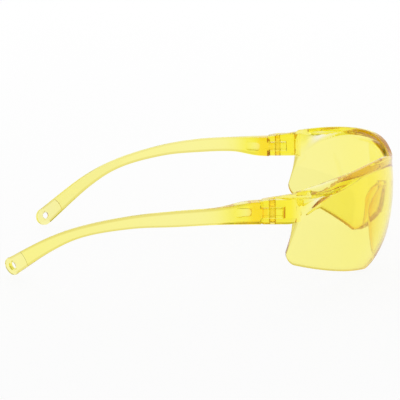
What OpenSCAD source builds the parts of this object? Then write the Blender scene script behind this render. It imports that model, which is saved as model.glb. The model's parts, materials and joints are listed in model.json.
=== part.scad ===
// Wrap-round safety glasses: a one-piece shield lens with two folding temples.
// Front faces -Y, wearer's left is +X, the table is z = 0. Millimetres.

/* [Lens] */
// Distance from the origin forward to the front of the lens
front_reach = 77.5; // [76:0.1:79]
// Half width of the ellipsoid that the lens is part of
lens_half_w = 67.8; // [67:0.1:69]
// Depth of that ellipsoid, from its centre to the front of the lens
lens_depth = 51.3; // [50.5:0.1:52]
// Half height of that ellipsoid
lens_half_h = 65.6; // [63:0.1:68]
// Height of the ellipsoid's centre above the table
lens_mid_z = 28.4; // [28:0.1:28.8]
// Thickness of the lens wall
lens_t = 2.4; // [2:0.1:2.8]
// Rise of the bottom edge for each millimetre towards the back
bottom_slope = 0.325; // [0.31:0.005:0.34]
// Height of the bottom edge, carried on to the front of the lens
bottom_front_z = -4.1; // [-4.3:0.1:-3.9]
// Radius of the rear bottom corner
corner_r = 4; // [3:0.1:5]

/* [Brow] */
// Height of the highest part of the brow, above each eye
brow_peak_z = 43.6; // [43:0.1:44.2]
// How far the brow dips over the nose
brow_dip = 3.8; // [2:0.1:5]
// How far the brow falls from that height to the hinge
brow_fall = 5.3; // [4.8:0.1:5.8]
// Width of the visor at its outer corner, out from the lens, before that corner is softened
visor_w = 8.7; // [7:0.1:9.5]
// Width of the visor where it meets the hinge
visor_end_w = 5; // [4.6:0.1:5.4]
// Drop from the brow to the outer edge of the visor
visor_drop = 3.1; // [2.5:0.1:3.6]
// Thickness of the visor where it leaves the lens
visor_t = 2.2; // [1.8:0.1:2.6]
// How far the top of the lens wall thins from its inside, along the brow
rim_thin = 1.2; // [0.6:0.1:1.4]

/* [Nose] */
// Height of the top of the nose channel
nose_top_z = 27; // [26:0.1:28]
// Height below which the channel spreads like a bell
nose_bell_z = 17.5; // [16.5:0.1:18.5]
// Half width of the channel at that height
nose_half_w = 7.6; // [7:0.1:8.5]
// Height below which the bell curls out into the bottom edge
nose_curl_z = 1.6; // [1.2:0.1:2.4]
// Thickness of the flange round the channel
flange_t = 1.8; // [1.4:0.1:2.2]
// Distance from the front of the lens to the back edge of the flange
flange_depth = 10.4; // [9.8:0.1:11]
// Height of the lower end of the flange
flange_low_z = 3.4; // [3.2:0.1:4.6]

/* [Hinge] */
// Distance of the hinge pins from the middle plane
hinge_x = 67; // [66.8:0.1:67.2]
// Distance of the hinge pins in front of the ellipsoid's centre
hinge_ahead = 3; // [2.8:0.1:3.2]
// Height of the underside of the fork
fork_z = 26.8; // [26.6:0.1:27]
// Height of the fork at the pin
fork_h = 9.4; // [9.2:0.1:9.6]
// Rise of the top of the fork for each millimetre towards the front
fork_rise = 0.157; // [0.1:0.001:0.2]
// Width of the fork, in and out
fork_w = 6.4; // [6:0.1:6.8]
// Bevel along the inner lower edge of the fork
fork_bevel = 1.2; // [0.8:0.1:1.4]
// Radius of the ears about the pin
ear_r = 4.7; // [4.4:0.1:5]
// Thickness of the lower ear
lower_ear = 2.2; // [2:0.1:2.4]
// Thickness of the tongue between the ears
tongue_h = 3.8; // [3.5:0.1:4]
// Gap between faces that pass each other
play = 0.3; // [0.25:0.05:0.35]
// Radius of the hinge pin
pin_r = 1.35; // [1.2:0.05:1.5]

/* [Temples] */
// Height of the strap at the hinge
root_h = 8.4; // [8.2:0.1:8.8]
// Thickness of the strap at the hinge
root_t = 6.2; // [6:0.1:6.3]
// Thickness of the strap along its length
strap_t = 2.4; // [2.2:0.1:2.6]
// Radius of the round tip
tip_r = 4; // [3.6:0.1:4.2]
// Distance of the round tip's centre past the cord hole
tip_past = 0.8; // [0.4:0.1:1.2]
// Thickness of the tip, thinner than the strap
tip_t = 1.8; // [1.6:0.1:2]
// Radius of the thin pad round the cord hole
pad_r = 6.2; // [5.5:0.1:7]
// Radius of the cord hole in the tip
cord_r = 1.4; // [1.2:0.1:1.6]
// Lean of the strap at the tip, its lower edge towards the head
tip_lean = 12; // [0:1:20]
// Radius of the round end of the pocket on the inside of the root
pocket_r = 1.9; // [1.6:0.1:2.2]

/* [Hidden] */
$fn = 64;

amber = [0.96, 0.88, 0.25, 0.75];
deep_amber = [0.90, 0.76, 0.10, 0.85];

lens_y = lens_depth - front_reach;
hinge_y = lens_y - hinge_ahead;
fork_reach = 10.6;
slot_z = fork_z + lower_ear;
slot_h = tongue_h + 2 * play;
sweep_r = ear_r + play;
// Gaps round the pin: pressed into the fork, free in the tongue
press_gap = 0.02;
running_gap = 0.05;
// A length that reaches past any wall, for cutting right through
past = 20;

// Angle round the lens over which the brow dips at the nose, and where its arch starts to fall
dip_angle = 14;
fall_from = 30;
fall_power = 1.7;
// Angle at which the brow ends, at the fork
brow_end = 76.6;
// Angles at which the visor starts to widen and has its outer corner, and its width at the front
visor_from = 14;
visor_corner = 68;
visor_power = 2.7;
visor_front_w = 0.3;
// Width over which the visor's outer corner is softened
visor_soft = 1;
// Share of the visor's drop at the front, and the angle at which it has its whole drop
front_drop = 0.4;
whole_drop_at = 30;
// Drop that is left at the hinge, where the drop starts to lessen and how far that takes
end_drop = 0.8;
end_drop_from = 63;
end_drop_span = 14;
// Share of the visor's drop that its outer edge takes up
edge_share = 0.3;
// Where the visor is narrow its underside starts a little below its edge; widths over which that changes
edge_step = 0.2;
narrow_w = 1;
narrow_span = 3;
// Angle at which the underside starts to deepen into a cove, and the cove's extra depth at the hinge
cove_from = 40;
cove_power = 2.3;
cove_depth = 12.1;
// Fullness of the curve under the visor, where it is straight and where it is a cove
under_full = 0.5;
cove_full = 0.12;
cove_full_from = 45;
cove_full_span = 15;
// Distances of the fork's tapered front end from the pin, and of its inner end from the fork's middle
taper_from = 6.8;
taper_in = 1.7;
// How far the top of the brow stands out, and the height over which the wall thins towards it
rim_out = 0.3;
rim_lean = 5;
// Distance ahead of the ellipsoid's centre of the lens's rear edge, low down and at the fork
rear_low = 7.6;
rear_high = 11.8;
rear_low_z = 13.9;
// Share of the lens's half width that lies ahead of the round rear corner
corner_from = 0.95;
// How fast the nose channel spreads below its arch, and curls out at its foot
bell_rate = 0.3;
bell_power = 1.52;
curl_rate = 0.8;
// Share of the flange's depth that its back edge gives up towards the top of the arch
flange_forward = 0.45;
// Half count of columns round the lens, rows up its wall, rows under the visor and rows over it
lens_columns = 34;
lens_rows = 10;
under_rows = 4;
crown_rows = 3;

function clamp(v) = min(1, max(0, v));
function ease(v) = (1 - cos(180 * clamp(v))) / 2;
function unit(v) = v / norm(v);
function mix(a, b, share) = a + (b - a) * share;

// The ellipsoid's size at height z, as a fraction of its largest, for a surface inset from it
function narrowing(z, inset) = sqrt(1 - pow((z - lens_mid_z) / (lens_half_h - inset), 2));

// A point on the ellipsoid at an angle round from the front, at height z
function shell_point(angle, z, inset) =
    let (k = narrowing(z, inset))
    [(lens_half_w - inset) * k * sin(angle), lens_y - (lens_depth - inset) * k * cos(angle), z];

// The outward direction, in plan, at that angle
function outward(angle) = unit([sin(angle) / lens_half_w, -cos(angle) / lens_depth, 0]);

// The angle at which the lens ends, which changes with height along its sloping rear edge
function end_angle(z) =
    let (rise = clamp((z - rear_low_z) / (fork_z - rear_low_z)))
    acos(mix(rear_low, rear_high, rise) / (lens_depth * narrowing(z, 0)));

// Height of the brow: a dip over the nose, an arch over the eye, a fall to the hinge
function brow_z(angle) =
    let (a = abs(angle))
    let (fall = pow(clamp((a - fall_from) / (brow_end - fall_from)), fall_power))
    brow_peak_z - brow_dip * exp(-pow(a / dip_angle, 2)) - brow_fall * fall;

// Width of the visor, out from the ellipsoid: it widens to its outer corner and comes back in to the hinge
function visor_out(angle) =
    let (a = abs(angle))
    let (late = pow(max(0, (a - visor_from) / (visor_corner - visor_from)), visor_power))
    let (widen = mix(visor_front_w, visor_w, late))
    let (narrow = mix(visor_w, visor_end_w, (a - visor_corner) / (brow_end - visor_corner)))
    (widen + narrow - sqrt(pow(widen - narrow, 2) + visor_soft * visor_soft)) / 2;

// Drop from the brow to the visor's outer edge: less over the nose, and little beside the hinge
function edge_drop(angle) =
    let (a = abs(angle))
    mix(visor_drop, end_drop, ease((a - end_drop_from) / end_drop_span))
        * mix(front_drop, 1, ease(a / whole_drop_at));

// Height at which the visor's underside leaves the lens: just under the brow, with a cove towards the fork
function join_z(angle) =
    let (a = abs(angle))
    let (top = brow_z(angle))
    let (wide = ease((visor_out(angle) - narrow_w) / narrow_span))
    let (cove = pow(clamp((a - cove_from) / (brow_end - cove_from)), cove_power))
    mix(top - edge_drop(angle) - edge_step, top - visor_t, wide) - cove_depth * cove;

// Height of the lens's bottom edge: a sloping plane met by iteration, with a round rear corner
function bottom_plane(angle, z, turns) =
    turns == 0 ? z :
    bottom_plane(angle, bottom_front_z
        + bottom_slope * (lens_depth - lens_depth * narrowing(z, 0) * cos(angle)), turns - 1);
function bottom_z(s) =
    let (late = clamp((abs(s) - corner_from) / (1 - corner_from)))
    bottom_plane(s * end_angle(rear_low_z), 0, 5) + corner_r * (1 - sqrt(1 - late * late));

// A point beside the ellipsoid: s is the share of the way round to the rear edge
function beside(s, z, out) =
    shell_point(s * end_angle(z), z, 0) + outward(s * brow_end) * out;

// One section of the lens: up the outside, under the visor, over its crown, down the inside
function lens_section(s) =
    let (angle = s * brow_end)
    let (low = bottom_z(s))
    let (top = brow_z(angle))
    let (wide = visor_out(angle))
    let (edge_low = top - edge_drop(angle))
    let (edge_top = mix(edge_low, top, edge_share))
    let (join = join_z(angle))
    let (full = mix(under_full, cove_full, ease((abs(angle) - cove_full_from) / cove_full_span)))
    concat(
        [for (i = [0:lens_rows])
            beside(s, mix(low, join, i / lens_rows), 0)],
        [for (i = [1:under_rows])
            let (t = i / under_rows)
            let (turn = mix(edge_low, join, full))
            let (z = mix(mix(join, turn, t), mix(turn, edge_low, t), t))
            beside(s, z, wide * t * (2 * (1 - t) * full + t))],
        [beside(s, edge_top, wide)],
        [for (i = [1:crown_rows])
            let (t = i / crown_rows)
            beside(s, mix(edge_top, top, 1 - (1 - t) * (1 - t)), mix(wide, rim_out, t))],
        [for (i = [0:lens_rows])
            let (z = mix(top, low, i / lens_rows))
            shell_point(s * end_angle(z), z, lens_t - rim_thin * (1 - ease((top - z) / rim_lean)))]);

// A solid lofted through closed sections that all have the same even number of points.
// Each end is closed by a strip between the first half of its points and the second half.
module loft(sections) {
    rings = len(sections);
    sides = len(sections[0]);
    points = [for (ring = sections) each ring];
    quads = [for (i = [0:rings - 2], j = [0:sides - 1])
        let (a = i * sides + j)
        let (b = i * sides + (j + 1) % sides)
        [a, b, b + sides, a + sides]];
    strip = [for (j = [0:sides / 2 - 2]) [j, j + 1, sides - 2 - j, sides - 1 - j]];
    first_end = [for (q = strip) [q[3], q[2], q[1], q[0]]];
    last_end = [for (q = strip) [for (v = q) v + (rings - 1) * sides]];
    faces = concat(quads, first_end, last_end);
    triangles = [for (q = faces) each [[q[0], q[1], q[2]], [q[0], q[2], q[3]]]];
    polyhedron(points, triangles, convexity = 10);
}

module lens_wall() {
    loft([for (i = [-lens_columns:lens_columns]) lens_section(sin(90 * i / lens_columns))]);
}

// Half width of the nose channel: a round arch that spreads into a bell and curls out at its foot
function nose_half(z) =
    z > nose_bell_z
        ? nose_half_w * sqrt(1 - pow((z - nose_bell_z) / (nose_top_z - nose_bell_z), 2))
        : nose_half_w + bell_rate * pow(nose_bell_z - z, bell_power)
            + curl_rate * pow(max(0, nose_curl_z - z), 2);

// The channel's outline on the left side, from a height near the bottom up to the top
function nose_edge(t, low) =
    let (z = low + (nose_top_z - low) * sin(90 * t))
    [nose_half(z), z];

module nose_channel() {
    below_table = -3;
    steps = 30;
    left = [for (i = [0:steps]) nose_edge(i / steps, below_table)];
    right = [for (i = [steps - 1:-1:0]) [-left[i][0], left[i][1]]];
    rotate([90, 0, 0])
        linear_extrude(height = 2 * front_reach)
            polygon(concat(left, right));
}

// Where the middle of the lens wall lies behind a point of the front view
function mid_wall_y(p) =
    let (half = lens_t / 2)
    let (k = narrowing(p[1], half))
    lens_y - (lens_depth - half) * sqrt(k * k - pow(p[0] / (lens_half_w - half), 2));

// The back edge of the flange, which comes forward towards the top of the arch
function flange_back(z) =
    let (late = clamp((z - nose_bell_z) / (nose_top_z - nose_bell_z)))
    flange_depth * (1 - flange_forward * late * late) - front_reach;

// The flange that lines the channel, one section at a point of its outline
function flange_section(t, side) =
    let (step = 0.002)
    let (here = nose_edge(t, flange_low_z))
    let (ahead = nose_edge(t + step, flange_low_z) - nose_edge(t - step, flange_low_z))
    let (run = t + step > 1 ? [-1, 0] : unit(ahead))
    let (across = [run[1], -run[0]])
    let (inside = here - across)
    let (outside = here + across * flange_t)
    let (back = flange_back(here[1]))
    [[side * inside[0], mid_wall_y(inside), inside[1]],
     [side * inside[0], back, inside[1]],
     [side * outside[0], back, outside[1]],
     [side * outside[0], mid_wall_y(outside), outside[1]]];

module nose_flange() {
    steps = 18;
    left = [for (i = [0:steps]) flange_section(i / steps, 1)];
    right = [for (i = [steps - 1:-1:0]) flange_section(i / steps, -1)];
    loft(concat(left, right));
}

// Plan of a hinge leaf: a strip with a round end about the pin
module leaf_plan(width, reach) {
    intersection() {
        union() {
            circle(r = ear_r);
            translate([-width / 2, min(0, reach)]) square([width, abs(reach)]);
        }
        translate([-width / 2, -past]) square([width, 2 * past]);
    }
}

// The block that carries the ears, with a top that slopes up to meet the brow
module fork() {
    slope = fork_rise * past;
    translate([hinge_x, hinge_y, fork_z])
        intersection() {
            linear_extrude(height = fork_h + slope)
                difference() {
                    leaf_plan(fork_w, -fork_reach);
                    polygon([[past, -taper_from], [fork_w / 2, -taper_from], [-taper_in, -fork_reach],
                             [-taper_in, -past], [past, -past]]);
                }
            rotate([90, 0, 90])
                linear_extrude(height = 2 * fork_w, center = true)
                    polygon([[-past, -1], [past, -1], [past, fork_h - slope], [-past, fork_h + slope]]);
        }
}

module fork_cuts() {
    translate([hinge_x, hinge_y, slot_z]) {
        cylinder(r = sweep_r, h = slot_h);
        translate([-fork_w, 0, 0]) cube([2 * fork_w, 2 * fork_w, slot_h]);
    }
    translate([hinge_x, hinge_y, fork_z - 1]) cylinder(r = pin_r + press_gap, h = fork_h + 2);
    translate([hinge_x - fork_w / 2, hinge_y + past, fork_z])
        rotate([90, 0, 0])
            linear_extrude(height = past + rear_high - hinge_ahead)
                polygon([[-1, -1], [fork_bevel + 1, -1], [-1, fork_bevel + 1]]);
}

module lens_shield() {
    color(amber)
    difference() {
        union() {
            lens_wall();
            nose_flange();
            fork();
            mirror([1, 0, 0]) fork();
        }
        nose_channel();
        fork_cuts();
        mirror([1, 0, 0]) fork_cuts();
    }
}

// Outer face of the left strap at mid height, from the hinge to the cord hole.
// Each point is its distance from the middle plane, its distance behind the pin and its height.
route = [
    [70.1, -4, 30.9],
    [70.1, 7, 30.9],
    [74.2, 20, 30.7],
    [75.2, 36, 29.9],
    [72.9, 53, 28.1],
    [67.6, 72, 23.4],
    [59.8, 86.7, 16.2],
    [44.6, 103, 4.3]];
// Strap height, strap thickness and inner bevel at each point of the route
heights = [root_h, root_h, 6.4, 5.9, 4.8, 4.2, 5.4, 6.8];
thicknesses = [root_t, root_t, 3, strap_t, strap_t, strap_t, strap_t, strap_t];
bevels = [1.4, 1.4, 0.8, 0.6, 0.6, 0.6, 0.6, 0.6];
outer_bevel = 0.6;
spans = len(route) - 1;
// Point of the route where the strap starts to lean
lean_from = 3;

function at_end(list, i) = list[min(spans, max(0, i))];

// Smooth curve through a list of values, with the position measured in list steps
function smooth(list, u) =
    let (i = min(spans - 1, floor(u)), f = u - i)
    let (p0 = at_end(list, i - 1), p1 = list[i], p2 = list[i + 1], p3 = at_end(list, i + 2))
    p1 + 0.5 * f * (p2 - p0 + f * (2 * p0 - 5 * p1 + 4 * p2 - p3 + f * (3 * (p1 - p2) + p3 - p0)));

function strap_point(u) = smooth(route, u) + [0, hinge_y, 0];
function strap_run(u) =
    let (step = 0.01)
    unit(strap_point(min(spans, u + step)) - strap_point(max(0, u - step)));
function strap_out(u) =
    let (lean = tip_lean * ease((u - lean_from) / (spans - lean_from)))
    let (level = unit(cross(strap_run(u), [0, 0, 1])))
    level * cos(lean) - cross(level, strap_run(u)) * sin(lean);
function strap_up(u) = cross(strap_out(u), strap_run(u));

function strap_section(u) =
    let (h = smooth(heights, u) / 2, t = smooth(thicknesses, u))
    let (b = smooth(bevels, u), c = outer_bevel)
    let (upper = [[0, h - c], [-c, h], [b - t, h], [-t, h - b]])
    let (lower = [for (i = [3:-1:0]) [upper[i][0], -upper[i][1]]])
    [for (p = concat(upper, lower)) strap_point(u) + strap_out(u) * p[0] + strap_up(u) * p[1]];

module strap() {
    steps = 6;
    loft([for (i = [0:spans * steps]) strap_section(i / steps)]);
}

// Places its children at the tip, some way past the cord hole's middle,
// with z = 0 on the tip's outer face and z along the hole
module at_tip(ahead) {
    out = strap_out(spans);
    translate(strap_point(spans) + strap_run(spans) * ahead)
        rotate([0, acos(out[2]), atan2(out[1], out[0])])
            children();
}

// Scooped pocket on the inside of the root, between an upper and a lower rib
module root_pocket() {
    behind_pin = 9.6;
    length = 14;
    wall = 2.7;
    depth = 10;
    translate([route[0][0] - wall - depth, hinge_y + behind_pin, route[1][2]])
        rotate([0, 90, 0]) {
            cylinder(r = pocket_r, h = depth);
            translate([-pocket_r, 0, 0]) cube([2 * pocket_r, length, depth]);
        }
}

module tongue() {
    length = 8;
    translate([hinge_x, hinge_y, slot_z + play])
        linear_extrude(height = tongue_h) leaf_plan(root_t, length);
}

module temple() {
    difference() {
        union() {
            difference() {
                strap();
                translate([hinge_x, hinge_y, 0]) cylinder(r = sweep_r, h = 2 * brow_peak_z);
                translate([hinge_x - past, hinge_y - past, 0]) cube([2 * past, past, 2 * brow_peak_z]);
                root_pocket();
                at_tip(0) translate([0, 0, -tip_t - past]) cylinder(r = pad_r, h = past);
            }
            tongue();
            at_tip(tip_past) translate([0, 0, -tip_t]) cylinder(r = tip_r, h = tip_t);
        }
        translate([hinge_x, hinge_y, slot_z]) cylinder(r = pin_r + running_gap, h = slot_h);
        at_tip(0) translate([0, 0, -2 * tip_t]) cylinder(r = cord_r, h = 3 * tip_t);
    }
}

module left_temple() {
    color(amber) temple();
}

module right_temple() {
    color(amber) mirror([1, 0, 0]) temple();
}

module hinge_pin() {
    bevel = 0.3;
    below_face = 0.3;
    height = fork_h - 2 * below_face;
    translate([hinge_x, hinge_y, fork_z + below_face])
        rotate_extrude()
            polygon([[0, 0], [pin_r - bevel, 0], [pin_r, bevel],
                     [pin_r, height - bevel], [pin_r - bevel, height], [0, height]]);
}

module left_hinge_pin() {
    color(deep_amber) hinge_pin();
}

module right_hinge_pin() {
    color(deep_amber) mirror([1, 0, 0]) hinge_pin();
}

lens_shield();
left_temple();
right_temple();
left_hinge_pin();
right_hinge_pin();
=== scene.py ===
# %% [markdown]
# # Amber safety glasses
# A one-piece shield lens of clear amber plastic wraps round the face, and two temples fold on hinge pins
# behind it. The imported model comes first: it fixes where each piece is and how it moves, and everything
# below is built around it. Its box is kept, because the finished pieces have to stay inside it.

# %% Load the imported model
import json

import bpy
import numpy as np
from mathutils import Matrix, Vector


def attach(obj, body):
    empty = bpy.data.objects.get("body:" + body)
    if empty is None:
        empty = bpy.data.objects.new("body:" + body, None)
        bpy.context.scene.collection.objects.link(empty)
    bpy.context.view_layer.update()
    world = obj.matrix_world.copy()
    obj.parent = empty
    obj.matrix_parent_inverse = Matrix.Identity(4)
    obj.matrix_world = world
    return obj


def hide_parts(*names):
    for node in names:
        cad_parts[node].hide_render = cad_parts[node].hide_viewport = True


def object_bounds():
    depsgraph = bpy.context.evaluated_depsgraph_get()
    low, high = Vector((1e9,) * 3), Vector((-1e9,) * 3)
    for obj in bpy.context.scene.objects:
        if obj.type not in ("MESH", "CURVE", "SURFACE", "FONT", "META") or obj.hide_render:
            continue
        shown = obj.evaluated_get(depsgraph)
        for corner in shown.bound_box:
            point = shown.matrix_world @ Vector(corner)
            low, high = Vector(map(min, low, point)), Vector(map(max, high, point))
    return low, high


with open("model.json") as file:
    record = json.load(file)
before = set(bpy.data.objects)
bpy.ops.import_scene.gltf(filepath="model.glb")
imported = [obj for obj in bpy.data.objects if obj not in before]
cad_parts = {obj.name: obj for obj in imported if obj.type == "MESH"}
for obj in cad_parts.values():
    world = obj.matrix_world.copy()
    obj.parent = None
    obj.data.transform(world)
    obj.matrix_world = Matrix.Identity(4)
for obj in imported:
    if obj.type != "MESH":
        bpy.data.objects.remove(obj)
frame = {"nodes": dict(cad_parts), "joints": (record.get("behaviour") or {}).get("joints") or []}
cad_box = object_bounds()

pin_place = np.array(frame["joints"][0]["pos_m"])
print("nodes", sorted(frame["nodes"]), "left pin", pin_place)

# %% [markdown]
# ## Closed skins
# Clear plastic shows every fault of its mesh, because light bends at the front and at the back of each
# wall. So every piece is a closed skin: rings of points that follow one another, with quads between them
# and a strip of quads across each end. The rings are whole numpy arrays in millimetres, and one function
# turns them into a Blender mesh in metres. The sign of the volume tells whether a skin is inside out, and
# a unit cube tries it.

# %% Rings to mesh
METRE = 0.001


def loft(rings):
    """Skin through rings of points, shape (rings, sides, 3): point j of a ring joins point j of the next.
    Each end is closed by quads between point j and the point as far from the ring's other end."""
    count, sides = rings.shape[:2]
    first = np.arange(count - 1)[:, None] * sides
    j = np.arange(sides)[None]
    a, b = first + j, first + (j + 1) % sides
    skin = np.stack([a, b, b + sides, a + sides], -1).reshape(-1, 4)
    k = np.arange(sides // 2 - 1)
    strip = np.stack([k, k + 1, sides - 2 - k, sides - 1 - k], -1)
    ends = [strip[:, ::-1], strip + (count - 1) * sides]
    return rings.reshape(-1, 3), np.concatenate([skin, *ends])


def volume(points, quads):
    """Signed volume: the sum over triangles of p0 . (p1 x p2) / 6, positive where faces look outwards."""
    p = points[quads]
    halves = np.cross(p[:, 1], p[:, 2]) + np.cross(p[:, 2], p[:, 3])
    return np.einsum("ij,ij->", p[:, 0], halves) / 6


def solid(name, *skins):
    """One mesh object made of separate closed skins, each turned so that its faces look outwards."""
    turned = [(p, q if volume(p, q) > 0 else q[:, ::-1]) for p, q in skins]
    starts = np.cumsum([0] + [len(p) for p, q in turned])
    points = np.concatenate([p for p, q in turned])
    quads = np.concatenate([q + start for (p, q), start in zip(turned, starts)])
    mesh = bpy.data.meshes.new(name)
    mesh.from_pydata(points * METRE, [], quads)
    piece = bpy.data.objects.new(name, mesh)
    bpy.context.scene.collection.objects.link(piece)
    return piece


base = np.array([[0.0, 0.0], [1.0, 0.0], [1.0, 1.0], [0.0, 1.0]])
cube = np.stack([np.insert(base, 2, height, axis=1) for height in (0, 1)])
print("a unit cube measures", volume(*loft(cube)))

# %% [markdown]
# ## Joining and cutting
# Hinge forks, slots and pin holes are easier to carve than to weave into a grid. A Boolean modifier joins
# or cuts two closed solids. Its Manifold solver keeps the result watertight, and the result is stored
# straight away, so that no modifier is left to run later. Edges sharper than a set angle stay crisp when
# shaded. A point attribute lives through all this, and it carries painted shade: the material darkens the
# edges that it marks.

# %% Carving tools
CRISP = np.radians(38)


def carve(piece, tool, operation):
    """Keeps piece joined with tool (UNION), or with tool cut away (DIFFERENCE); the tool is used up."""
    step = piece.modifiers.new("carve", "BOOLEAN")
    step.object, step.operation, step.solver = tool, operation, "MANIFOLD"
    done = piece.evaluated_get(bpy.context.evaluated_depsgraph_get())
    mesh = bpy.data.meshes.new_from_object(done)
    piece.modifiers.clear()
    piece.data = mesh
    bpy.data.objects.remove(tool)


def polish(piece):
    """Smooth shading everywhere except across edges sharper than CRISP."""
    piece.data.shade_smooth()
    piece.data.set_sharp_from_angle(angle=CRISP)
    print(piece.name, len(piece.data.vertices), "points", len(piece.data.polygons), "faces")
    return piece


def paint_edge_shade(piece, shade_marks):
    """Stores the painted edge shade of each point, from 0 to 1, for the material to read."""
    # The attribute holds painted shade, which darkens edges in the material.
    edges = piece.data.attributes.new("painted_edge_shade", "FLOAT", "POINT")
    edges.data.foreach_set("value", shade_marks.ravel())


print("edges over", np.degrees(CRISP).round(), "degrees stay crisp")

# %% [markdown]
# ## Small shaping formulas
# A few formulas come back all over the object: a ramp that starts and ends gently, a direction of length
# one, a quadratic curve and a rounded corner. The corner leaves the straight line a little before the turn
# and meets the next line a little after it. Moulded plastic never has a truly sharp edge, and these small
# rounds are what catch the light.

# %% Ramps, directions and corners
TINY = 1e-9


def clamp(v):
    """v held between 0 and 1."""
    return np.clip(v, 0, 1)


def ease(v):
    """A cosine ramp from 0 to 1 as v goes from 0 to 1."""
    return (1 - np.cos(np.pi * clamp(v))) / 2


def mix(a, b, share):
    """The point a share of the way from a to b."""
    return a + (b - a) * share


def softer(a, b, soft):
    """The smaller of two values with a gentle change-over: (a + b - sqrt((a - b)^2 + soft^2)) / 2."""
    return (a + b - np.sqrt((a - b) ** 2 + soft**2)) / 2


def length(v):
    """Length of each vector, kept as a last axis of one."""
    return np.linalg.norm(v, axis=-1, keepdims=True)


def unit(v):
    """The same direction with length one."""
    return v / np.maximum(length(v), TINY)


def curve(a, b, c, t):
    """Quadratic curve from a to c that leans towards b: (1-t)^2 a + 2t(1-t) b + t^2 c."""
    return (1 - t) ** 2 * a + 2 * t * (1 - t) * b + t**2 * c


def corner(before, at, after, radius, steps=6, hold=1.8, most=0.46):
    """Rounds a corner of many sections at once, by a curve between the points a radius away from it on its
    two sides. One more point on each side, at hold times the radius, keeps the flats flat, and no point
    goes further than a share of the way to the next."""
    def away(to, far):
        gap = to - at
        return at + gap * np.minimum(far / np.maximum(length(gap), TINY), most)
    t = np.linspace(0, 1, steps)[:, None, None]
    bend = curve(away(before, radius), at, away(after, radius), t)
    return np.concatenate([away(before, hold * radius)[None], bend, away(after, hold * radius)[None]])


print("a gentle ramp in five steps", ease(np.linspace(0, 1, 5)).round(3))

# %% [markdown]
# ## The curved shield
# The lens is part of an ellipsoid, wider than it is deep, so it wraps round the face and also curves from
# brow to cheek. The real one is injection moulded in one shot. It could be sculpted from a sphere, but a
# formula keeps the curve even, which a clear wall needs. A place on it is an angle round from the front
# and a height, and a rear edge ends it on both sides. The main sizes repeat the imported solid's own, in
# millimetres.

# %% The ellipsoid and its rear edge
front_reach, lens_half_w, lens_depth, lens_half_h, lens_mid_z = 77.46, 67.8, 51.3, 65.6, 28.4
lens_y = lens_depth - front_reach
fork_z = 26.8
rear_low, rear_high, rear_low_z = 7.6, 11.8, 13.9


def narrowing(z, inset):
    """Size of the ellipsoid at height z, as a fraction of its largest."""
    return np.sqrt(1 - ((z - lens_mid_z) / (lens_half_h - inset)) ** 2)


def shell(angle, z, inset):
    """The ellipsoid inset by some millimetres: x and y on an ellipse at that height, at an angle from the
    front."""
    k = narrowing(z, inset)
    x = (lens_half_w - inset) * k * np.sin(angle)
    y = lens_y - (lens_depth - inset) * k * np.cos(angle)
    return np.stack(np.broadcast_arrays(x, y, z), -1)


def end_angle(z):
    """Angle of the rear edge, which lies further forward at the fork than low down."""
    rise = clamp((z - rear_low_z) / (fork_z - rear_low_z))
    return np.arccos(mix(rear_low, rear_high, rise) / (lens_depth * narrowing(z, 0)))


def share_of_end(x, z, inset):
    """The share of the way to the rear edge at which the inset ellipsoid has this x and z."""
    across = (lens_half_w - inset) * narrowing(z, inset)
    return np.arcsin(np.clip(x / across, -1, 1)) / end_angle(z)


print("front of the lens at", shell(0.0, lens_mid_z, 0).round(2), "mm")

# %% [markdown]
# ## The brow and its visor
# The top edge rises over each eye, dips over the nose and falls towards the hinges. A thin visor stands
# out from it, a hair's breadth at the front and widest near the temples, and keeps drips and dust off the
# lens. Under it a cove runs deeper towards the hinge and carries the fork. Each of these is a formula of
# the angle alone, so the brow stays one smooth sweep.

# %% Brow, visor and cove
brow_peak_z, brow_dip, brow_dip_angle = 43.59, 3.8, np.radians(14)
brow_fall, brow_fall_from, brow_end, fall_power = 5.3, np.radians(30), np.radians(76.6), 1.7
visor_w, visor_end_w, visor_front_w = 8.7, 5.0, 0.3
visor_from, visor_widest, visor_power, visor_soft = np.radians(14), np.radians(68), 2.7, 1.0
visor_drop, visor_end_drop, visor_front_drop = 3.1, 0.8, 0.4
drop_full_at, drop_end_from, drop_end_over = np.radians(30), np.radians(63), np.radians(14)
visor_t, visor_lap, visor_t_from, visor_t_over = 2.9, 0.2, 1.0, 3.0
cove_depth, cove_from, cove_power = 9.5, np.radians(36), 2.3


def brow_z(angle):
    """Height of the brow: its peak, less a bell-shaped dip over the nose, less a fall towards the hinge."""
    fall = clamp((np.abs(angle) - brow_fall_from) / (brow_end - brow_fall_from)) ** fall_power
    return brow_peak_z - brow_dip * np.exp(-((angle / brow_dip_angle) ** 2)) - brow_fall * fall


def visor_out(angle):
    """Width of the visor: the softer minimum of a power curve that widens towards the temple and a straight
    line that comes back in to the fork."""
    a = np.abs(angle)
    share = np.maximum(0, (a - visor_from) / (visor_widest - visor_from))
    widen = mix(visor_front_w, visor_w, share**visor_power)
    narrow = mix(visor_w, visor_end_w, (a - visor_widest) / (brow_end - visor_widest))
    return softer(widen, narrow, visor_soft)


def visor_fall(angle):
    """How far the visor's edge lies below the brow: less over the nose, and little beside the fork."""
    a = np.abs(angle)
    front = mix(visor_front_drop, 1, ease(a / drop_full_at))
    return mix(visor_drop, visor_end_drop, ease((a - drop_end_from) / drop_end_over)) * front


def join_z(angle):
    """Height at which the visor's underside leaves the lens: a sheet's thickness under the brow, or just
    below the edge where the visor is narrow, less a cove that deepens towards the fork."""
    cove = cove_depth * clamp((np.abs(angle) - cove_from) / (brow_end - cove_from)) ** cove_power
    grown = ease((visor_out(angle) - visor_t_from) / visor_t_over)
    return brow_z(angle) - mix(visor_fall(angle) + visor_lap, visor_t, grown) - cove


print("visor", visor_out(visor_widest).round(2), "mm wide at its corner")

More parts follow.
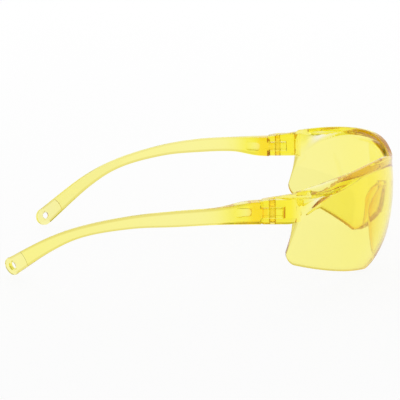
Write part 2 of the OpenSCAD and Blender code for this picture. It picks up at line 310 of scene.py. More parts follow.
# %% [markdown]
# ## The lower edge and the nose channel
# Seen from the front, the lower edge of the lens runs forward from the rear corner, sweeps up the bell of
# the nose channel and over its arch. Cutting that opening out of a finished grid would leave ragged
# triangles along a clear edge. Instead the grid's own first row follows the whole edge, evenly spaced
# along its length, and the columns of the grid rise from there to the brow. The foot of the bell is
# smoothed by a moving average.

# %% Lower edge of the lens
bottom_front_z, bottom_slope, corner_r, corner_from = -4.1, 0.325, 4.0, 0.95
nose_top_z, nose_bell_z, nose_half_w, nose_curl_z = 27.0, 17.5, 7.6, 1.6
bell_spread, bell_power, bell_curl, foot_soft = 0.3, 1.52, 0.8, 4.0


def bottom_z(s):
    """Height of the bottom edge: a sloping plane, found by going round five times, with a round rear corner
    where s, the share of the way to the rear edge, nears 1."""
    angle = s * end_angle(rear_low_z)
    z = np.zeros_like(s)
    for _ in range(5):
        z = bottom_front_z + bottom_slope * lens_depth * (1 - narrowing(z, 0) * np.cos(angle))
    late = clamp((np.abs(s) - corner_from) / (1 - corner_from))
    return z + corner_r * (1 - np.sqrt(1 - late**2))


def nose_half(z):
    """Half width of the channel: an elliptic arch above, and below it a power curve that curls out."""
    arch = nose_half_w * np.sqrt(1 - clamp((z - nose_bell_z) / (nose_top_z - nose_bell_z)) ** 2)
    spread = bell_spread * np.maximum(nose_bell_z - z, 0) ** bell_power
    return arch + spread + bell_curl * np.maximum(nose_curl_z - z, 0) ** 2


def lower_edge(points=3000, window=61, furthest=0.8):
    """The left half of the lower edge as even steps of (s, z): along the bottom to where the channel
    starts, then up the channel. Also gives the share of the length at which that is, and the length."""
    s = 1 - furthest * np.linspace(0, 1, points) ** 2
    z = bottom_z(s)
    foot = np.argmax(shell(s * end_angle(z), z, 0)[:, 0] < nose_half(z))
    bell_z = mix(z[foot], nose_top_z, np.sin(np.linspace(0, np.pi / 2, points)))
    bell_s = share_of_end(nose_half(bell_z), bell_z, 0)
    s, z = np.concatenate([s[:foot], bell_s]), np.concatenate([z[:foot], bell_z])
    steps = length(np.diff(shell(s * end_angle(z), z, 0), axis=0))[:, 0]
    run = np.concatenate([[0], np.cumsum(steps)])
    even = np.linspace(0, run[-1], points)
    edge = np.stack([np.interp(even, run, s), np.interp(even, run, z)])
    soft = np.pad(edge, ((0, 0), (window // 2, window // 2)), mode="edge")
    soft = np.stack([np.convolve(row, np.ones(window) / window, "valid") for row in soft])
    near_foot = np.exp(-(((even - run[foot]) / foot_soft) ** 2))
    return mix(edge, soft, near_foot), run[foot] / run[-1], run[-1]


edge_sz, edge_foot, edge_run = lower_edge()
print("half of the lower edge", round(edge_run, 1), "mm, channel starts at", round(edge_foot, 3))

# %% [markdown]
# ## The lens as one grid
# Each column of the grid is a closed section through the lens. It goes up the outer wall, out under the
# visor, round the visor's edge, over its crown to the brow, down the inner wall and back along the lower
# edge. First come the columns themselves: where each one starts on the lower edge, and where it ends at
# the brow. They stop a little short of the rear edges, which get their own rounding later.

# %% Columns of the grid
half_columns, wall_rows, visor_rows = 150, 60, 10
end_round = 0.5
side = np.linspace(-1, 1, 2 * half_columns + 1)
along_edge = 1 - np.abs(side)
even_steps = np.linspace(0, 1, edge_sz.shape[1])
trim = 1 - end_round / edge_run
s_low = np.interp(along_edge, even_steps, edge_sz[0]) * np.sign(side) * trim
z_low = np.interp(along_edge, even_steps, edge_sz[1])
s_top = side * trim
brow_angle = side * brow_end
top, wide, join = brow_z(brow_angle), visor_out(brow_angle), join_z(brow_angle)
edge_low = top - visor_fall(brow_angle)
outwards = np.stack([np.sin(brow_angle) / lens_half_w, -np.cos(brow_angle) / lens_depth, 0 * side], -1)
way = unit(outwards)


def on_lens(s, z, inset):
    """A place on the inset ellipsoid, where s is the share of the way to the rear edge."""
    return shell(s * end_angle(z), z, inset)


def beside(z, out):
    """A place beside the brow, some millimetres out from the ellipsoid."""
    return on_lens(s_top, z, 0) + way * out[..., None]


print(len(side), "columns, brow from", top.min().round(2), "to", top.max().round(2), "mm")

# %% [markdown]
# The outer side of a section is the wall, the visor's underside, its blunt edge and its crown. The
# underside is a quadratic curve: it leaves the wall flat in front, and steeply near the hinge, where the
# cove is.

# %% Outer wall and visor
rim_gap, wall_end = 0.9, 0.95
under_front, under_side, under_from, under_over = 0.5, 0.12, np.radians(45), np.radians(15)
edge_share, rim_out, rim_in = 0.3, 0.3, 1.2
rim, crease = on_lens(s_low, z_low, 0), on_lens(s_top, join, 0)
rise = np.linspace(rim_gap / length(crease - rim)[:, 0], wall_end, wall_rows)
wall = on_lens(mix(s_low, s_top, rise), mix(z_low, join, rise), 0)
lean = mix(under_front, under_side, ease((np.abs(brow_angle) - under_from) / under_over))
t = np.linspace(0, 1, visor_rows + 1)[1:, None]
under = beside(curve(join, mix(edge_low, join, lean), edge_low, t), curve(0, wide * lean, wide, t))
edge_top = mix(edge_low, top, edge_share)
edge = beside(edge_top, wide)
crown = beside(mix(edge_top, top, 1 - (1 - t) ** 2), mix(wide, rim_out, t))
brow = on_lens(s_top, top, rim_in)
print("outer side", len(wall) + len(under) + len(crown), "rows")

# %% [markdown]
# In place of nose pads, a moulded flange runs backwards from the channel's edge. A share between 0 and 1
# blends the plain lower edge into the flange, so the whole lens stays a single closed skin. The flange's
# outer face lies a wall's thickness from the channel, along the edge's own normal.

# %% Nose flange
lens_t, flange_t, flange_depth, flange_thin = 2.4, 1.8, 10.4, 0.45
flange_low_z, flange_soft, nose_blend, edge_slope = 3.4, 1.4, 0.04, 0.4
channel_from, channel_to, channel_rows = 0.2, 0.8, 6
flanged = ease((z_low - flange_low_z) / (2 * flange_soft) + 0.5) * (along_edge > edge_foot)
run = unit(-np.stack([np.gradient(rim[:, 0]), np.gradient(z_low)], -1))
x_off, z_off = rim[:, 0] + run[:, 1] * flange_t, z_low - run[:, 0] * flange_t
at_nose = ease((along_edge - edge_foot) / nose_blend + 0.5)
s_in = mix(s_low, share_of_end(rim[:, 0], z_low, lens_t), at_nose)
plain = on_lens(s_in, z_low, lens_t)


def flange_back(x, z):
    """The flange's back edge: at a set depth behind the front, and shallower over the arch."""
    late = clamp((z - nose_bell_z) / (nose_top_z - nose_bell_z))
    return np.stack([x, flange_depth * (1 - flange_thin * late**2) - front_reach, z], -1)


back_out = mix(plain, flange_back(x_off, z_off), flanged[:, None])
back_in = mix(mix(plain, rim, edge_slope), flange_back(rim[:, 0], z_low), flanged[:, None])
channel = mix(back_in, rim, np.linspace(channel_from, channel_to, channel_rows)[:, None, None])
print("flange on", int((flanged > 0.5).sum()), "columns")

# %% [markdown]
# A moulder keeps walls even, because a thick lump sinks as it cools. So the visor is hollow from behind:
# the inner wall leaves the plain ellipsoid and follows the crown and the cove at one thickness. Along the
# brow the wall thins, and at the nose the inner wall stops at the flange.

# %% Inner wall and the hollow behind the visor
hollow_t, hollow_soft, hollow_to, hollow_fade = 1.85, 1.0, np.radians(74), np.radians(8)
hollow_blend, hollow_reach, least_slope = 0.2, 3, 0.05
inner_drop, lip, rim_lean = 1.0, 0.06, 5.0


def recess(z, inset):
    """How far the inner face follows the visor outwards at height z from the brow: the softer minimum of
    two lines, one a wall's thickness under the crown and one as far inside the cove, counted from the
    plain wall."""
    drop, deep = top - edge_low, top - join
    crown_slope, cove_slope = drop / wide, np.maximum((deep - drop) / wide, least_slope)
    crown_line = (-z - hollow_t * np.hypot(1, crown_slope)) / crown_slope
    cove_line = (z + deep - hollow_t * np.hypot(1, cove_slope)) / cove_slope
    least = softer(crown_line, cove_line, hollow_soft) + inset
    share = ease((hollow_to - np.abs(brow_angle)) / hollow_fade)
    return share * (least + np.sqrt(least**2 + hollow_blend**2)) / 2 * (least > -hollow_reach)


inner_top = top - inner_drop
s_stop = mix(mix(s_in, s_top, lip), share_of_end(x_off, z_off, lens_t), flanged)
z_stop = mix(mix(z_low, inner_top, lip), z_off, flanged)
stop = on_lens(s_stop, z_stop, lens_t)
fall = np.linspace(0, wall_end, wall_rows)[:, None]
z_in = mix(inner_top, z_stop, fall)
inset = mix(rim_in, lens_t, ease((top - z_in) / rim_lean))
hollow = recess(z_in - top, inset)
inner = on_lens(mix(s_top, s_stop, fall), z_in, inset) + way * hollow[..., None]
print("inner wall", len(inner), "rows, hollow up to", hollow.max().round(2), "mm deep")

# %% [markdown]
# Now the bands of rows are put in order round the section, with a rounded corner at each turn. Beside each
# band stands its painted edge shade: 1 where the plastic ends, so that the edge shows as a dark line. In
# front the painted shade fades out up the wall, which gives the warm band that the photograph shows along
# the lower edge. The corner in the cove is wide, and takes the place of the first rows of the visor's
# underside.

# %% Close the sections
# Painted edge shade: a dark line along the lens's edges, and a band of it fading up the front wall.
fade_rows, fade_shade, fade_from, fade_over = 7, 0.7, 58, 12
back_r, rim_r, cove_r, under_r, visor_edge_r, brow_r, foot_r = 0.5, 0.4, 2.5, 0.25, 0.3, 0.45, 0.7
cove_rows = 3
near_front = ease((-rim[:, 1] - fade_from) / fade_over) * (1 - flanged)
wall_shade = fade_shade * clamp(1 - np.arange(wall_rows)[:, None] / fade_rows) * near_front
bands = [
    (corner(back_out, back_in, rim, back_r), 1),
    (channel, 1 - flanged),
    (corner(back_in, rim, wall[0], rim_r), 1 - flanged),
    (wall, wall_shade),
    (corner(wall[-1], crease, under[cove_rows - 1], cove_r), 0),
    (under[cove_rows:-1], 0),
    (corner(under[-2], under[-1], edge, under_r), 0),
    (corner(under[-1], edge, crown[0], visor_edge_r), 0),
    (crown, 0),
    (corner(crown[-1], brow, inner[0], brow_r), 0),
    (inner, 0),
    (corner(inner[-1], stop, back_out, foot_r), 0),
    (corner(stop, back_out, back_in, back_r), 1)]
sections = np.concatenate([rows for rows, mark in bands]).transpose(1, 0, 2)
shade_marks = np.concatenate([np.broadcast_to(mark, rows.shape[:2]) for rows, mark in bands]).T
print("sections", sections.shape)

# %% [markdown]
# The rear edges are rounded by a few more rings past each end, which get the painted edge shade too. A
# Bevel modifier could do it, but rings keep the grid even and the painted shade in step. All of them
# together become the lens.

# %% Rear edges and the lens
end_turns, shaded_rings, tightest = np.radians([20, 40, 60, 80, 90]), 7, 0.4


def round_ends(rings, radius):
    """Adds a quarter round past both end rings: each ring moves on by radius sin q while its two faces
    close in on each other by radius (1 - cos q)."""
    q = end_turns[:, None, None]

    def past(last, before):
        across = last[::-1] - last
        close = np.minimum(radius * (1 - np.cos(q)), tightest * length(across))
        return last + unit(last - before) * radius * np.sin(q) + unit(across) * close
    return np.concatenate([past(rings[0], rings[1])[::-1], rings, past(rings[-1], rings[-2])])


lens = solid("lens_glass", loft(round_ends(sections, end_round)))
# The rings round the rear edges get painted edge shade as well.
end_shade = np.ones((shaded_rings, shade_marks.shape[1]))
plain_rings = slice(shaded_rings - len(end_turns), len(end_turns) - shaded_rings)
paint_edge_shade(lens, np.concatenate([end_shade, shade_marks[plain_rings], end_shade]))
print("lens grid", len(lens.data.vertices), "points")

# %% [markdown]
# ## Blocks with rounded rims
# The hinge is made of flat blocks: ears, tongues, slots and holes. Each is an outline carried along a
# straight axis. Close to both faces the outline draws in by a quarter circle, which gives the soft rim of
# a moulded part. The same function makes the cutting tools, with no rounding.

# %% Outlines and blocks
MIRROR = np.array([-1, 1, 1])
pin_x, pin_y = pin_place[:2] / METRE
at_pin = np.array([pin_x, pin_y, 0])


def disc(radius, sides=64):
    """A circle, anticlockwise."""
    a = np.arange(sides) / sides * 2 * np.pi + np.pi / sides
    return radius * np.stack([np.cos(a), np.sin(a)], -1)


def leaf(width, reach, radius, sides=40, square=6):
    """A strip of some width with a round end of a radius about the pin, reaching to y = reach on the other
    side: an arc, clipped to the width, then two square corners."""
    half = np.arcsin(min(1, width / 2 / radius))
    a = np.linspace(-half, half, sides)
    way = -np.sign(reach)
    arc = radius * np.stack([way * -np.sin(a), way * np.cos(a)], -1)
    far = np.linspace(arc[-1, 0], arc[0, 0], square)
    return np.concatenate([arc, np.stack([far, np.full(square, reach)], -1)])


def stacked(outlines, heights):
    """Rings from flat outlines, shape (rings, sides, 2), each at its own height."""
    z = np.broadcast_to(heights[:, None, None], outlines.shape[:2] + (1,))
    return np.concatenate([outlines, z], -1)


def block(outline, low, high, rim=0.0, steps=5):
    """An outline carried up z from low to high. At height r(1 - cos q) from a face it is drawn in along its
    own normals by r(1 - sin q)."""
    ahead = np.roll(outline, -1, 0) - np.roll(outline, 1, 0)
    normal = unit(np.stack([ahead[:, 1], -ahead[:, 0]], -1))
    x, y = outline.T
    area = np.sum(x * np.roll(y, -1) - y * np.roll(x, -1))
    q = np.linspace(0, np.pi / 2, steps) if rim else np.array([np.pi / 2])
    drawn, lift = rim * (1 - np.sin(q)), rim * (1 - np.cos(q))
    drawn, z = np.concatenate([drawn, drawn[::-1]]), np.concatenate([low + lift, (high - lift)[::-1]])
    return stacked(outline - normal * np.sign(area) * drawn[:, None, None], z)


def both(rings):
    """A skin and its mirror image on the other side of the face."""
    return [loft(rings), loft(rings * MIRROR)]


print("left hinge axis at", at_pin.round(2), "mm")

# %% [markdown]
# ## Hinge forks
# Each end of the brow carries a fork: two ears with a slot between them, and a hole through both for the
# pin. The fork is joined to the lens so that light passes without a seam. Then its top is cut down to a
# step that leaves a thin fin beside it, and slot and hole are cut. The inner lower edge is bevelled, so
# the fork never gets closer to the head than the slope allows.

# %% Shape of a fork
fork_h, fork_rise, fork_w, fork_reach, fork_bevel, fork_rim = 9.4, 0.157, 6.4, 10.6, 1.2, 0.35
ear_r, ear_sides = 4.7, 40
bevel_from, bevel_rings, rim_rings = 0.4, 5, 5


def fork_plan(taper_from=6.8, taper_in=1.7, soft=1.6, steps=6):
    """A leaf whose outer front corner is cut off by a slanting line, with a quadratic curve into it."""
    half = fork_w / 2
    turn, end = np.array([half, -taper_from]), np.array([-taper_in, -fork_reach])
    start, stop = mix(turn, end, soft / length(end - turn)), turn + [0, soft]
    bend = curve(start, turn, stop, np.linspace(0, 1, steps)[:, None])
    arc = leaf(fork_w, -fork_reach, ear_r, ear_sides)[:ear_sides]
    return np.concatenate([arc, [[-half, -fork_reach], end], bend])


def fork_block():
    """The fork's plan carried upwards, with its inner side held behind a 45 degree slope near its underside
    and its top tilted up towards the front."""
    rings = block(fork_plan(), fork_z, fork_z + fork_h, fork_rim, rim_rings)
    extra = np.repeat(rings[rim_rings - 1][None], bevel_rings, 0)
    extra[..., 2:] = fork_z + np.linspace(bevel_from, fork_bevel, bevel_rings)[:, None, None]
    rings = np.concatenate([rings[:rim_rings], extra, rings[rim_rings:]])
    held = -fork_w / 2 + np.maximum(0, fork_bevel - (rings[..., 2] - fork_z))
    rings[..., 0] = np.maximum(rings[..., 0], held)
    rings[..., 2] -= fork_rise * rings[..., 1] * (rings[..., 2] - fork_z) / fork_h
    return rings + at_pin


fork = fork_block()
print("fork", fork.shape, "rings, sides and axes")

# %% Forks joined to the lens
play, lower_ear, slot_h, pin_r, press_gap, fin_w = 0.3, 2.2, 4.4, 1.35, 0.02, 2.4
step_past, step_ahead, step_high, bore_past = 9, 4, 30, 1
slot_z, fork_top = fork_z + lower_ear, fork_z + fork_h
fin_side, step_front = fin_w - fork_w / 2, -fork_reach - step_ahead
step_plan = np.array([
    [fin_side, step_front], [step_past, step_front], [step_past, step_past], [fin_side, step_past]])
slot_plan = leaf(2 * (ear_r + play), 2 * fork_w, ear_r + play)
carve(lens, solid("forks", *both(fork)), "UNION")
for name, cutter in (
        ("steps", block(step_plan, fork_top, fork_z + step_high)),
        ("slots", block(slot_plan, slot_z, slot_z + slot_h)),
        ("bores", block(disc(pin_r + press_gap), fork_z - bore_past, fork_top + bore_past))):
    carve(lens, solid(name, *both(cutter + at_pin)), "DIFFERENCE")
polish(lens)

# %% [markdown]
# ## Temples
# A temple is a flat strap that starts as a stout root at the hinge, bows outwards past the cheek, thins,
# and drops behind the ear to a round tip with a hole for a neck cord. It could be a box bent by a lattice.
# A rounded rectangle carried along a smooth curve through a few points gives the same strap, and each size
# is then a list of a few values. Its outer edges get painted shade, so that they show as dark lines.

# %% The strap's path and section
strap_route = np.array([
    [70.1, -4, 30.9], [70.1, 7, 30.9], [74.2, 20, 30.7], [75.19, 36, 29.9],
    [72.9, 53, 28.1], [67.6, 72, 23.4], [59.8, 86.7, 16.2], [44.6, 103, 4.3]])
strap_heights = np.array([8.4, 8.4, 6.4, 5.9, 4.8, 4.2, 5.4, 7.2])
strap_thick = np.array([6.2, 6.2, 3, 2.4, 2.4, 2.4, 2.4, 2.4])
inner_bevels = np.array([1.4, 1.4, 0.8, 0.6, 0.6, 0.6, 0.6, 0.6])
outer_bevel, tip_lean, lean_from = 0.6, np.radians(12), 3
spans = len(strap_route) - 1


def through(values, u):
    """Catmull-Rom curve through a list of values, at u measured in list steps; the ends repeat."""
    i = np.minimum(spans - 1, np.floor(u).astype(int))
    f = (u - i).reshape((-1,) + (1,) * (values.ndim - 1))
    p0, p1, p2, p3 = (values[np.clip(i + k, 0, spans)] for k in (-1, 0, 1, 2))
    bend = 2 * p0 - 5 * p1 + 4 * p2 - p3 + f * (3 * (p1 - p2) + p3 - p0)
    return p1 + 0.5 * f * (p2 - p0 + f * bend)


def strap_frame(u, nudge=0.01):
    """Place on the strap's outer face, and its directions along, outwards and up. The strap leans a little
    towards its tip."""
    place = through(strap_route, u) + [0, pin_y, 0]
    ahead = through(strap_route, np.minimum(spans, u + nudge))
    along = unit(ahead - through(strap_route, np.maximum(0, u - nudge)))
    level = unit(np.cross(along, [0, 0, 1]))
    turn = tip_lean * ease((u - lean_from) / (spans - lean_from))[:, None]
    out = level * np.cos(turn) - np.cross(level, along) * np.sin(turn)
    return place, along, out, np.cross(out, along)


def strap_rings(steps=28):
    """The strap: a rectangle with round corners, wide corners inside, in the frame of each ring. Gives the
    rings and their painted edge shade, which is 1 on the curves of the two outer corners."""
    u = np.linspace(0, spans, spans * steps + 1)
    place, along, out, up = strap_frame(u)
    h, thick = through(strap_heights, u) / 2, through(strap_thick, u)
    outer, inner = np.stack([0 * h, h], -1), np.stack([-thick, h], -1)
    low_outer, low_inner = outer * [1, -1], inner * [1, -1]
    bevel = through(inner_bevels, u)[:, None]
    around = np.concatenate([
        corner(low_outer, outer, inner, outer_bevel), corner(outer, inner, low_inner, bevel),
        corner(inner, low_inner, low_outer, bevel), corner(low_inner, low_outer, outer, outer_bevel)])
    rings = place + out * around[..., :1] + up * around[..., 1:]
    # Painted edge shade on the curves of the two outer corners.
    bend = np.array([0, 1, 1, 1, 1, 1, 1, 0])
    return rings.transpose(1, 0, 2), np.tile(np.concatenate([bend, 0 * bend, 0 * bend, bend]), len(u))


strap, strap_shade = strap_rings()
print("strap", strap.shape, "rings, sides and axes")

# %% [markdown]
# A tongue for the fork and a round tip are joined to the strap. The root is cut back round the hinge by a
# block that follows the pin, so the strap can swing past the ears, and a pocket inside it keeps the
# moulding even. Tip, thin pad and cord hole are turned round the hole's axis, which is the strap's outward
# direction there. The hole is flared at both faces, so that a cord doesn't chafe in it.

# %% Tools that carve a temple
tip_t, cord_r = 1.8, 1.4
pocket_r, pocket_behind, pocket_l, pocket_wall, pocket_z = 1.9, 9.6, 14.0, 2.7, 30.9
pocket_rim, pocket_deep, root_out = 0.8, 12, 3.1


def on_tip(rings, past):
    """Stands a block on the tip, some millimetres past the cord hole, with its z outwards from the strap's
    outer face."""
    place, along, out, up = (v[0] for v in strap_frame(np.array([float(spans)])))
    return place + along * past + rings[..., :1] * along + rings[..., 1:2] * up + rings[..., 2:] * out


def root_clearance(clear=5.0, broad=20, high=60, sides=48):
    """Everything ahead of the pin and within a radius of it: a half circle with a broad block in front."""
    a = np.linspace(0, np.pi, sides)
    arc = clear * np.stack([np.cos(a), np.sin(a)], -1)
    square = np.array([[-broad, 0], [-broad, -broad], [broad, -broad], [broad, 0]])
    return block(np.concatenate([arc, square]), 0, high) + at_pin


def pocket():
    """A groove with a round end, run in from the inside of the root and stopped by the outer wall."""
    rings = block(leaf(2 * pocket_r, pocket_l, pocket_r), 0, pocket_deep, pocket_rim)
    depth = pin_x + root_out - pocket_wall - rings[..., 2:]
    return np.concatenate([depth, rings[..., 1:2] + pin_y + pocket_behind, rings[..., :1] + pocket_z], -1)


def cord_cutter(flare=0.5, past=5):
    """Round cutter for the cord hole: straight in the middle of the tip, wider at its faces by a flare."""
    r = cord_r + flare * np.array([1, 1, 0, 0, 1, 1])
    heights = np.array([-past, -tip_t, flare - tip_t, -flare, 0, past])
    return stacked(disc(1) * r[:, None, None], heights)


print("left cord hole at", on_tip(np.zeros((1, 3)), 0).round(2), "mm")

# %% Carve both temples
root_t, tongue_h, tongue_l, tongue_rim, running_gap = 6.2, 3.4, 8, 0.3, 0.05
tip_r, tip_past, tip_rim, pad_r, pad_deep = 3.7, 0.8, 0.45, 8.2, 9


def temple(name, mirror):
    """One temple: strap, less clearance, pocket and pad, with tongue and tip, less pin and cord holes."""
    def tool(what, *rings):
        return solid(what, *(loft(r * mirror) for r in rings))
    piece = tool(name, strap)
    paint_edge_shade(piece, strap_shade)
    pad = on_tip(block(disc(pad_r), -pad_deep, -tip_t), 0)
    carve(piece, tool("hollows", root_clearance(), pocket(), pad), "DIFFERENCE")
    tongue_z = slot_z + play
    tongue = block(leaf(root_t, tongue_l, ear_r), tongue_z, tongue_z + tongue_h, tongue_rim) + at_pin
    tip = on_tip(block(disc(tip_r, sides=96), -tip_t, 0, tip_rim), tip_past)
    carve(piece, tool("ends", tongue, tip), "UNION")
    pin_hole = block(disc(pin_r + running_gap), slot_z, slot_z + slot_h) + at_pin
    carve(piece, tool("holes", pin_hole, on_tip(cord_cutter(), 0)), "DIFFERENCE")
    return polish(piece)


left_temple = temple("left_temple_strap", np.ones(3))
right_temple = temple("right_temple_strap", MIRROR)

# %% [markdown]
# ## Hinge pins
# Each temple turns on a short plastic pin through ears and tongue. It is a profile turned round the pin's
# axis, with a shallow dish in each end and a soft rim. A plain cylinder would have razor edges, which no
# moulding has.

# %% Turned pins
pin_short, pin_dish, pin_rim, pin_sides = 0.3, 0.25, 0.3, 48
pin_hub, dish_r, dish_lift, rim_turn = 0.02, (0.5, 0.8), (0.2, 0.04), 0.09


def pin(name, mirror):
    """A profile of radius and height turned round the axis: dish, rim, side, rim and dish."""
    low, high = fork_z + pin_short, fork_top - pin_short
    r = np.array([pin_hub, *dish_r, pin_r - pin_rim, pin_r - rim_turn, pin_r])
    lift = np.array([pin_dish, *dish_lift, 0, rim_turn, pin_rim])
    r, z = np.concatenate([r, r[::-1]]), np.concatenate([low + lift, (high - lift)[::-1]])
    rings = stacked(disc(1, pin_sides) * r[:, None, None], z) + at_pin
    return polish(solid(name, loft(rings * mirror)))


left_pin = pin("left_pin_peg", np.ones(3))
right_pin = pin("right_pin_peg", MIRROR)

# %% [markdown]
# ## Shader arithmetic
# A material is a graph of nodes. Written as Python expressions it reads like a formula: this small class
# wraps a socket, and each operator adds the Math node that does it. The other class holds a material. Any
# other node comes from one of its methods, which sets the node's options first and then its inputs.

# %% Sockets as expressions
class Wire:
    """A node's output that can be added, subtracted, multiplied or raised, with numbers or other wires."""

    def __init__(self, finish, socket):
        self.finish, self.socket = finish, socket

    def _math(self, operation, a, b):
        return self.finish.node("ShaderNodeMath", {"operation": operation}, {0: a, 1: b})

    def __add__(self, other):
        return self._math("ADD", self, other)

    def __sub__(self, other):
        return self._math("SUBTRACT", self, other)

    def __rsub__(self, other):
        return self._math("SUBTRACT", other, self)

    def __mul__(self, other):
        return self._math("MULTIPLY", self, other)

    def __pow__(self, other):
        return self._math("POWER", self, other)

    __radd__, __rmul__ = __add__, __mul__


# %% Nodes of a material
class Finish:
    """A material whose nodes are made one by one."""

    def __init__(self, name):
        self.material = bpy.data.materials.new(name)
        self.material.use_nodes = True
        self.tree = self.material.node_tree
        self.tree.nodes.clear()
        self.output = self.tree.nodes.new("ShaderNodeOutputMaterial")

    def node(self, kind, settings=None, inputs=None, out=0):
        """Adds a node, sets its options, then its inputs as values or links. Gives one output as a Wire."""
        made = self.tree.nodes.new(kind)
        for key, value in (settings or {}).items():
            setattr(made, key, value)
        for key, value in (inputs or {}).items():
            if isinstance(value, Wire):
                self.tree.links.new(value.socket, made.inputs[key])
            else:
                made.inputs[key].default_value = value
        return Wire(self, made.outputs[out])

    def along(self, axis):
        """The place along one axis of the piece, in metres."""
        place = self.node("ShaderNodeTexCoord", out="Object")
        return self.node("ShaderNodeSeparateXYZ", {}, {0: place}, out=axis)

    def noise(self, scale, detail=2.0, stretch=(1, 1, 1)):
        """Noise on Object coordinates, from 0 to 1, with a stretch along the axes."""
        place = self.node("ShaderNodeTexCoord", out="Object")
        place = self.node("ShaderNodeMapping", {}, {"Vector": place, "Scale": stretch})
        return self.node("ShaderNodeTexNoise", {}, {"Vector": place, "Scale": scale, "Detail": detail})

    def ramp(self, value, none, full):
        """A smooth step from 0 where the value is none to 1 where it is full, whichever is the larger."""
        return self.node("ShaderNodeMapRange", {"interpolation_type": "SMOOTHSTEP"},
                         {"Value": value, "From Min": none, "From Max": full})

    def blend(self, share, a, b):
        """The colour a share of the way from a to b."""
        return self.node("ShaderNodeMix", {"data_type": "RGBA"}, {0: share, 6: a, 7: b}, out=2)

    def finish(self, surface, volume=None):
        """Links the shaders to the material's output."""
        self.tree.links.new(surface.socket, self.output.inputs["Surface"])
        if volume:
            self.tree.links.new(volume.socket, self.output.inputs["Volume"])
        return self.material


# %% [markdown]
# ## Clear amber plastic
# The plastic is tinted all through. A thin wall looks pale yellow, two walls look deeper, and light that
# runs the long way inside a rim comes out golden. A coloured surface can't do that, so the colour sits in
# the volume: an absorption that eats blue fast, green slowly and red least. The surface is a polished,
# slightly wavy skin with a faint haze, as moulded polycarbonate has. Constants are set straight on the
# shader's sockets.
#
# Four things tint the skin a little. It varies slowly from place to place, as mouldings do. As in the
# photograph, it deepens towards the nose, its marked edges are darkened by painted shade, and the thick
# hinge gets a warmer painted glow.
# Places are in metres.

# %% The tint of the skin
pale_skin, deep_skin, nose_skin = (0.98, 0.95, 0.94, 1), (0.98, 0.935, 0.89, 1), (1.0, 0.95, 0.72, 1)
# Painted shade colours for the marked edges: olive at the sides, orange at the nose.
side_edge_shade, nose_edge_shade = (0.78, 0.68, 0.42, 1), (0.95, 0.7, 0.2, 1)
nose_from, nose_edge_shade_to, nose_to = -0.05, -0.065, -0.0765
hinge_low, hinge_full = 0.026, 0.027
# How softly the painted hinge glow starts and stops, in metres.
warm_start, warm_stop = 0.001, 0.004


def skin_tint(f, flow, warm, warm_from, warm_to):
    """Colour of the skin: slow variation, then the nose, painted shade on the marked edges and a warmer
    painted glow on a stretch of the hinge, which lies between two places front to back and above the
    underside of the fork."""
    y, z = f.along("Y"), f.along("Z")
    tint = f.blend(flow, pale_skin, deep_skin)
    tint = f.blend(f.ramp(y, nose_from, nose_to), tint, nose_skin)
    edge = f.blend(f.ramp(y, nose_from, nose_edge_shade_to), side_edge_shade, nose_edge_shade)
    # The marked edges are darkened by painted shade.
    painted_shade = f.node("ShaderNodeAttribute", {"attribute_name": "painted_edge_shade"}, out="Fac")
    tint = f.blend(painted_shade, tint, edge)
    # Painted glow: a stretch of the hinge is tinted warmer, as if light ran long inside it.
    stretch = f.ramp(y, warm_from - warm_start, warm_from) * (1 - f.ramp(y, warm_to, warm_to + warm_stop))
    return f.blend(stretch * f.ramp(z, hinge_low, hinge_full), tint, warm)


# %% Amber materials
polish_rough, grain_haze, grain_wave, wave_deep = 0.012, 0.4, 0.02, 0.0006
clear_ior, glint = 1.45, (1.0, 0.94, 0.6, 1)


def amber(name, absorb, density, haze, waviness, **warmth):
    """Polished skin over a tinted volume. Haze and waviness come from noise at three sizes."""
    f = Finish(name)
    flow = f.noise(scale=35, detail=3, stretch=(1, 0.4, 1))
    smear = f.noise(scale=140, detail=4, stretch=(1, 0.6, 1.6))
    grain = f.noise(scale=2600)
    wave = f.node("ShaderNodeBump", {}, {
        "Strength": waviness, "Distance": wave_deep, "Height": flow + grain_wave * grain})
    skin = f.node("ShaderNodeBsdfPrincipled", {}, {
        "Base Color": skin_tint(f, flow, **warmth), "Normal": wave,
        "Roughness": polish_rough + haze * smear**3 + grain_haze * haze * grain,
        "IOR": clear_ior, "Transmission Weight": 1.0, "Specular Tint": glint})
    tinted = f.node("ShaderNodeVolumeAbsorption", {}, {"Color": absorb, "Density": density})
    print(name, len(f.tree.nodes), "nodes")
    return f.finish(skin, tinted)


clear_amber, deeper_amber = (0.9935, 0.976, 0.12, 1), (0.993, 0.955, 0.10, 1)
# The last three settings of each call paint a warmer glow over the hinge.
lens_amber = amber("amber_lens_clear", clear_amber, density=500, haze=0.05, waviness=0.05,
                   warm=(1.0, 0.93, 0.6, 1), warm_from=-0.039, warm_to=0.1)
temple_amber = amber("amber_temple_clear", clear_amber, density=500, haze=0.07, waviness=0.08,
                     warm=(1.0, 0.8, 0.3, 1), warm_from=-0.027, warm_to=-0.0225)
pin_amber = amber("amber_pin_satin", deeper_amber, density=600, haze=0.20, waviness=0.08,
                  warm=(1.0, 0.9, 0.6, 1), warm_from=-0.039, warm_to=0.1)

# %% [markdown]
# ## Every piece on its body
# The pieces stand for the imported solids, so each one hides its solid, takes its material slot and rides on
# the body that the hinge moves.

# %% Dress and attach
for piece, node, body, slot, coat in (
        (lens, "lens_shield", "front", "amber_lens", lens_amber),
        (left_temple, "left_temple", "left_arm", "amber_temple", temple_amber),
        (right_temple, "right_temple", "right_arm", "amber_temple", temple_amber),
        (left_pin, "left_hinge_pin", "front", "amber_pin", pin_amber),
        (right_pin, "right_hinge_pin", "front", "amber_pin", pin_amber)):
    piece.data.materials.clear()
    piece.data.materials.append(coat)
    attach(piece, body)
    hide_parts(node)
    print(piece.name, "stands for", node)

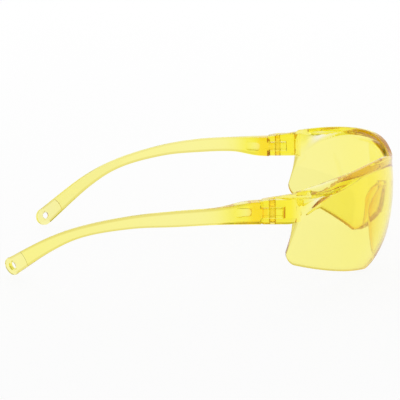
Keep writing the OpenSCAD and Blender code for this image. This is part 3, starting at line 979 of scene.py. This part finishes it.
# %% [markdown]
# ## Floor and light
# The photograph is a bright catalogue picture on white. Clear plastic shows best against a bright field,
# so the glasses stand on a sweep of white paper that bends up behind them and glows a little, like a light
# table. A pale world fills the rest. One soft lamp stands on the camera's side, and a faint one across
# from it adds a little sparkle. Light has to pass many walls, so a path may bend often.

# %% Floor and lights
paper_grey, paper_rough, paper_glow, under_glasses = (0.05, 0.05, 0.05, 1), 0.9, 0.91, 0.0002
white, world_glow, most_bounces = (1, 1, 1, 1), 0.55, 32
middle = Vector((0, 0, 0.02))


def paper_sweep(half=3.0, bend_from=1.2, bend_r=0.6, high=2.4, steps=16):
    """Studio paper: level just under the glasses, then bent up by a quarter circle behind them."""
    q = np.linspace(0, np.pi / 2, steps)
    x = np.concatenate([[-half], bend_from + bend_r * np.sin(q), [bend_from + bend_r]])
    z = np.concatenate([[0], bend_r * (1 - np.cos(q)), [high]]) + cad_box[0][2] - under_glasses
    points = np.stack(np.broadcast_arrays(x, [[-half], [half]], z), -1).reshape(-1, 3)
    i, wide = np.arange(len(x) - 1), len(x)
    mesh = bpy.data.meshes.new("floor")
    mesh.from_pydata(points, [], np.stack([i, i + 1, i + 1 + wide, i + wide], -1))
    floor = bpy.data.objects.new("floor", mesh)
    bpy.context.scene.collection.objects.link(floor)
    f = Finish("pale_floor")
    paper = f.node("ShaderNodeBsdfPrincipled", {}, {
        "Base Color": paper_grey, "Roughness": paper_rough,
        "Emission Color": white, "Emission Strength": paper_glow})
    mesh.materials.append(f.finish(paper))


def soft_lamp(name, place, size, power):
    """A square area lamp that looks at the middle of the glasses."""
    lamp = bpy.data.lights.new(name, "AREA")
    lamp.size, lamp.energy = size, power
    stand = bpy.data.objects.new(name, lamp)
    stand.location = place
    stand.rotation_euler = (Vector(place) - middle).to_track_quat("Z", "Y").to_euler()
    bpy.context.scene.collection.objects.link(stand)


paper_sweep()
soft_lamp("top_lamp", (1.05, -0.09, 0.58), size=0.5, power=0.15)
soft_lamp("front_lamp", (-0.9, -0.7, 0.5), size=0.6, power=1)
world = bpy.data.worlds.new("white_studio")
world.use_nodes = True
world.node_tree.nodes["Background"].inputs["Color"].default_value = white
world.node_tree.nodes["Background"].inputs["Strength"].default_value = world_glow
bpy.context.scene.world = world
bpy.context.scene.view_settings.view_transform = "Standard"
paths = bpy.context.scene.cycles
paths.max_bounces = paths.transmission_bounces = paths.glossy_bounces = most_bounces
print("paper, two lamps and a pale world")

# %% [markdown]
# ## Camera
# The camera stands at the wearer's right, a little above, far off with a long lens, and tilts by a degree
# as the photograph does. Its focal length is measured in the photograph's pixels.

# %% Camera
photo_side, photo_focal = 400, 1800.57
azimuth, elevation, roll = np.radians([273.47, 12.388, -0.927])
aim, distance = np.array([0, 0.002034, 0.020868]), 0.745
level = np.cos(elevation)
back = np.array([np.sin(azimuth) * level, -np.cos(azimuth) * level, np.sin(elevation)])
right = unit(np.cross([0, 0, 1], back))
up = np.cross(back, right)
rolled_right = right * np.cos(roll) + up * np.sin(roll)
rolled_up = up * np.cos(roll) - right * np.sin(roll)
camera = bpy.data.objects.new("camera", bpy.data.cameras.new("camera"))
camera.data.lens = photo_focal / photo_side * camera.data.sensor_width
turn = Matrix(np.stack([rolled_right, rolled_up, back], 1).tolist()).to_4x4()
camera.matrix_world = Matrix.Translation(Vector(aim + back * distance)) @ turn
bpy.context.scene.collection.objects.link(camera)
bpy.context.scene.camera = camera
print("camera at", [round(v, 3) for v in camera.location], "lens", round(camera.data.lens, 1), "mm")
